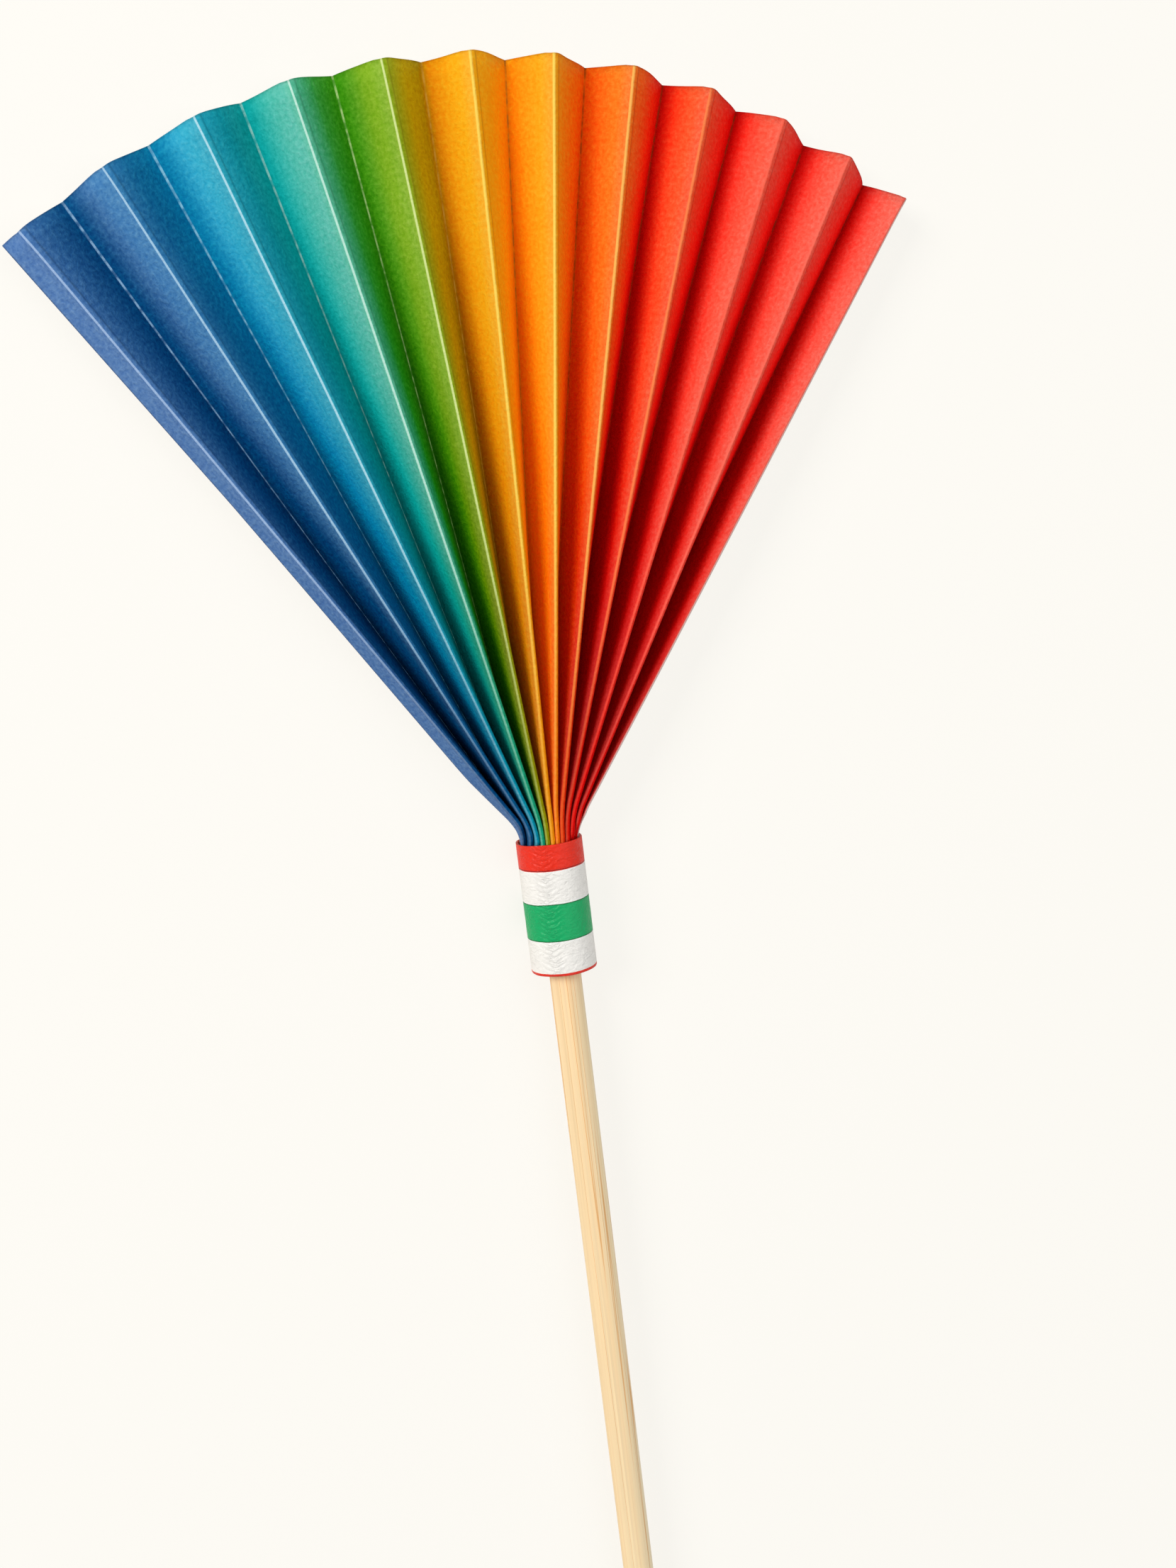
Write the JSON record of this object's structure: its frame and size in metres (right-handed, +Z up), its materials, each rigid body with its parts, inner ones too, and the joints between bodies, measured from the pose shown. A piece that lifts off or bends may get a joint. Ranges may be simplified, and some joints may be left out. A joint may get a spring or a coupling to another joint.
{
  "type": "paper fan pick",
  "caption": "Party food pick: a pleated rainbow paper fan pinched in a short wound paper sleeve on a round wooden stick with a sharpened point, lying face up.",
  "frame": {"origin": "middle of the outline, on the floor that the pick lies on", "axes": "+Y along the stick from its point to the fan, +Z up out of the face of the fan, +X to the fan's right"},
  "size_m": [0.0792, 0.2, 0.0062],
  "materials": {
    "rainbow_paper": "matte",
    "sleeve_paper": "satin",
    "pale_wood": "matte"
  },
  "bodies": {
    "root": {"paper_fan": "rainbow_paper", "paper_sleeve": "sleeve_paper", "wooden_stick": "pale_wood"}
  },
  "joints": []
}
